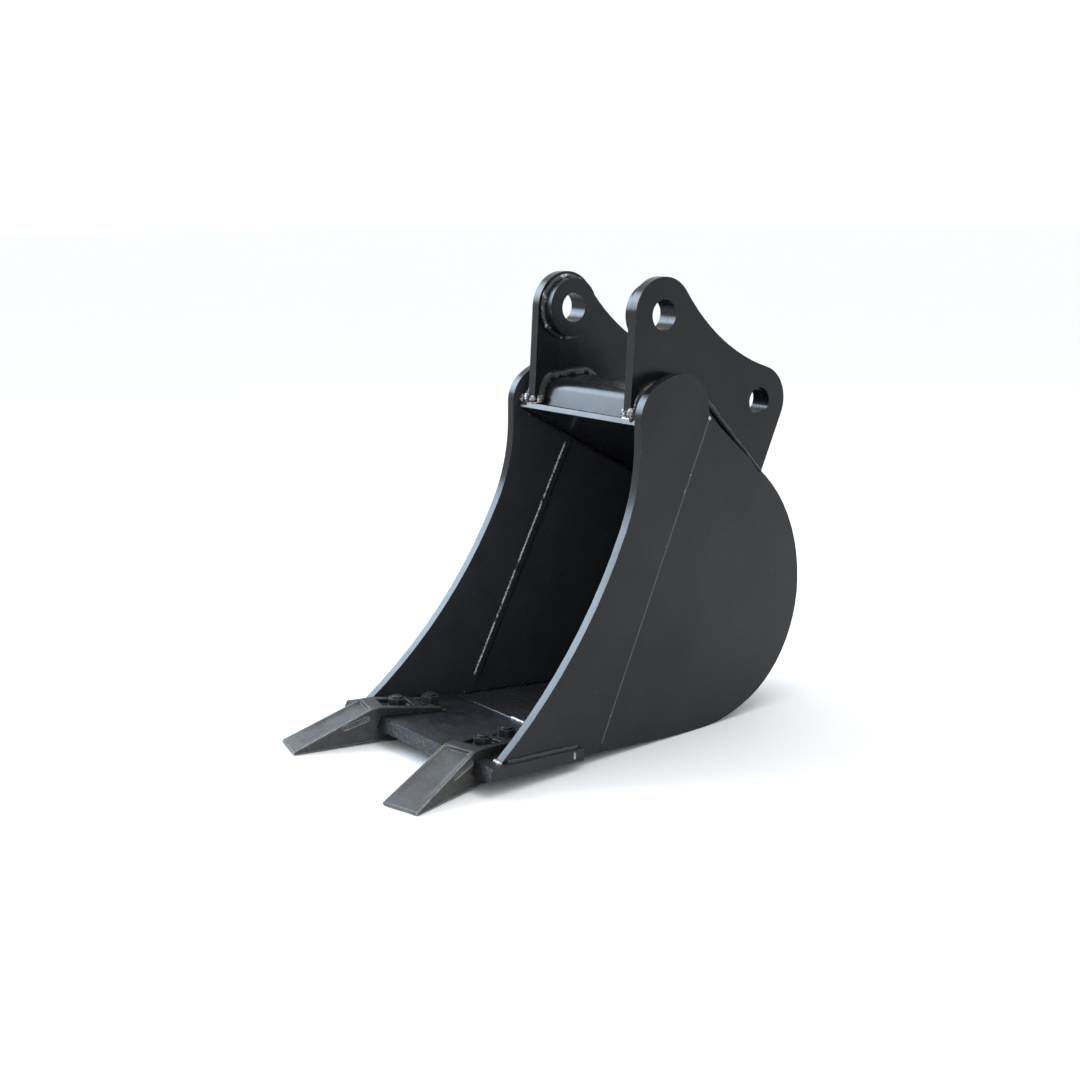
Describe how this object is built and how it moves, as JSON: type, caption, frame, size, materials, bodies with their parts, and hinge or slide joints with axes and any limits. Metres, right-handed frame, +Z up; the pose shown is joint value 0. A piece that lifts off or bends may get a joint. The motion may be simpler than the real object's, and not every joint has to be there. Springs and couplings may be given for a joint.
{
  "type": "excavator bucket",
  "caption": "Narrow digging bucket of welded plate with a curved back, two drilled hanging ears with inner bosses, a boxed brace behind the mouth, a thick cutting lip and a bolted chisel tooth at each corner.",
  "frame": {"origin": "centre of the plan bounding box, at the level of the ground the bucket rests on", "axes": "-Y out of the mouth past the teeth, +Z up with the bucket standing on its heel and tooth tips, +X to the right of someone who faces the mouth and looks along +Y"},
  "size_m": [0.3376, 0.687, 0.6055],
  "materials": {
    "black_paint": "satin black paint over welded plate, light edge wear",
    "cast_tooth": "grey cast steel, lightly worn",
    "hardware": "blackened steel, rubbed brighter on its corners"
  },
  "bodies": {
    "root": {"shell_wrapper": "black_paint", "lip_plate": "black_paint", "torque_cover": "black_paint", "left_side_cutter": "black_paint", "left_side_panel": "black_paint", "left_torque_cover_end": "black_paint", "left_ear": "black_paint", "left_front_boss": "black_paint", "left_rear_boss": "black_paint", "left_tooth": "cast_tooth", "left_tooth_bolt_1": "hardware", "left_tooth_washer_1": "hardware", "left_tooth_nut_1": "hardware", "left_tooth_bolt_2": "hardware", "left_tooth_washer_2": "hardware", "left_tooth_nut_2": "hardware", "right_side_cutter": "black_paint", "right_side_panel": "black_paint", "right_torque_cover_end": "black_paint", "right_ear": "black_paint", "right_front_boss": "black_paint", "right_rear_boss": "black_paint", "right_tooth": "cast_tooth", "right_tooth_bolt_1": "hardware", "right_tooth_washer_1": "hardware", "right_tooth_nut_1": "hardware", "right_tooth_bolt_2": "hardware", "right_tooth_washer_2": "hardware", "right_tooth_nut_2": "hardware"}
  },
  "joints": []
}
